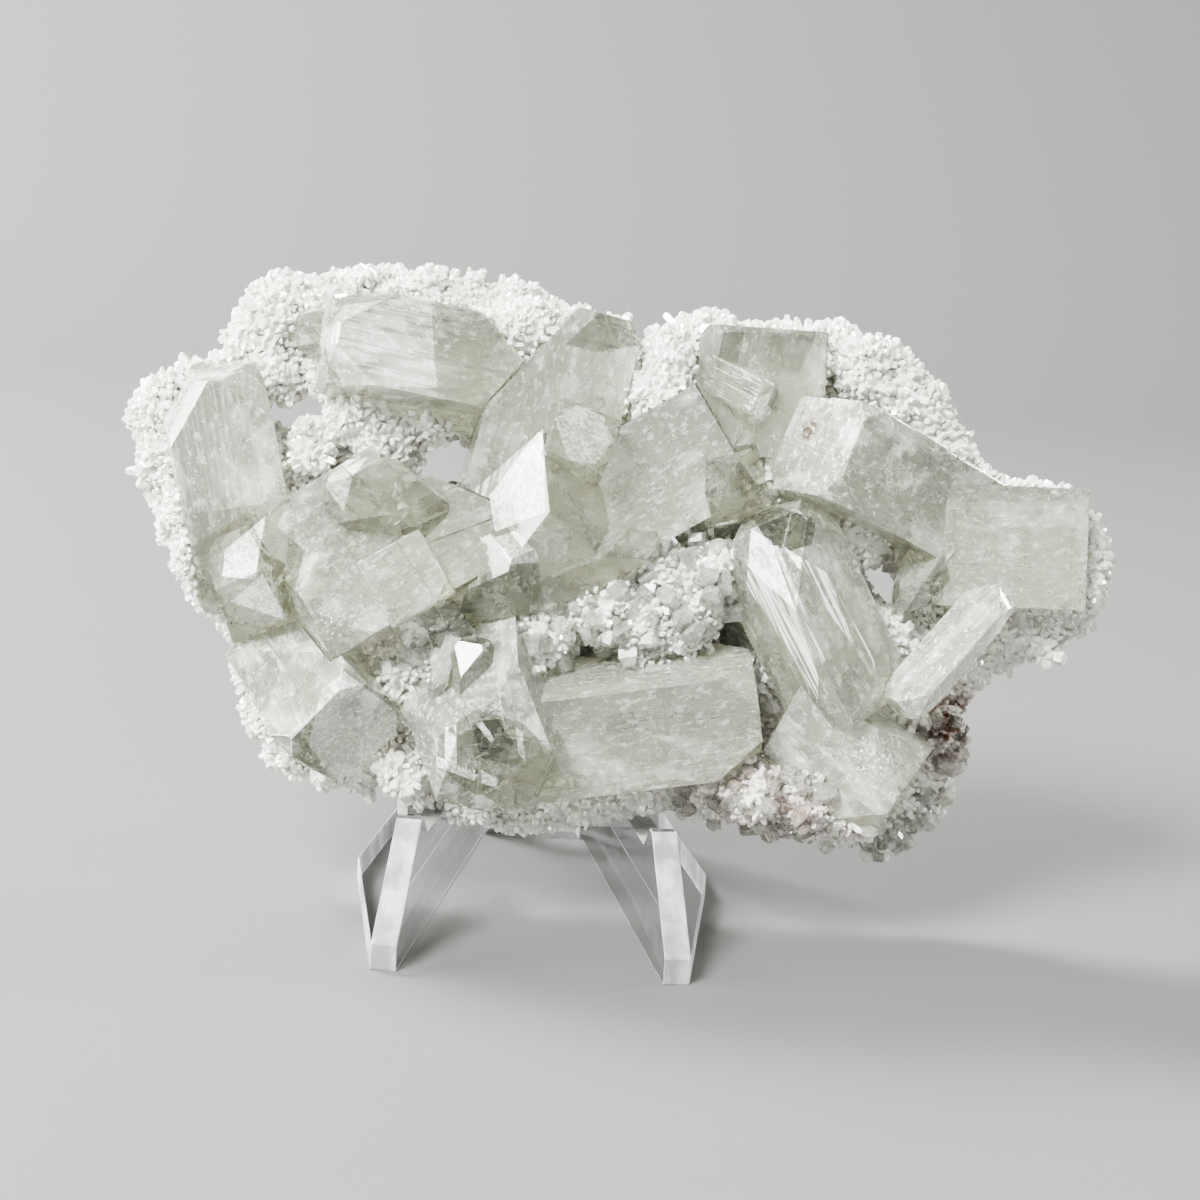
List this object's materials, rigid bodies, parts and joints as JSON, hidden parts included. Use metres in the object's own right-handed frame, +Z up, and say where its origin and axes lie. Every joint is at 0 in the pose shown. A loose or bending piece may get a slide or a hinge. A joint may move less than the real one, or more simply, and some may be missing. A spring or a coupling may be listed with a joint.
{
  "type": "apophyllite crystal cluster",
  "caption": "Cluster of glassy square apophyllite crystals with pyramid ends on a plate of white druse, leaning on a clear acrylic display stand.",
  "frame": {"origin": "on the floor under the middle of the whole object's footprint", "axes": "+X to the viewer's right along the crystal plate, +Y away from the viewer towards the back of the stand, +Z up; -Y is the front, where the large crystals face"},
  "size_m": [0.126, 0.0644, 0.0802],
  "materials": {
    "clear_apophyllite": "glassy, pale green-grey, with white veils and fractures",
    "white_druse": "sugary white crust of small crystals, nearly opaque",
    "clear_acrylic": "clear, with frosted sawn edges"
  },
  "bodies": {
    "root": {"crystal_bottom_left": "clear_apophyllite", "crystals_bottom": "clear_apophyllite", "crystals_centre": "clear_apophyllite", "crystals_left": "clear_apophyllite", "crystals_lower_right": "clear_apophyllite", "crystals_right": "clear_apophyllite", "crystals_top_left": "clear_apophyllite", "crystals_top_right": "clear_apophyllite", "druse": "white_druse", "stand_cross_plate": "clear_acrylic", "stand_leg_left": "clear_acrylic", "stand_leg_right": "clear_acrylic"}
  },
  "joints": []
}
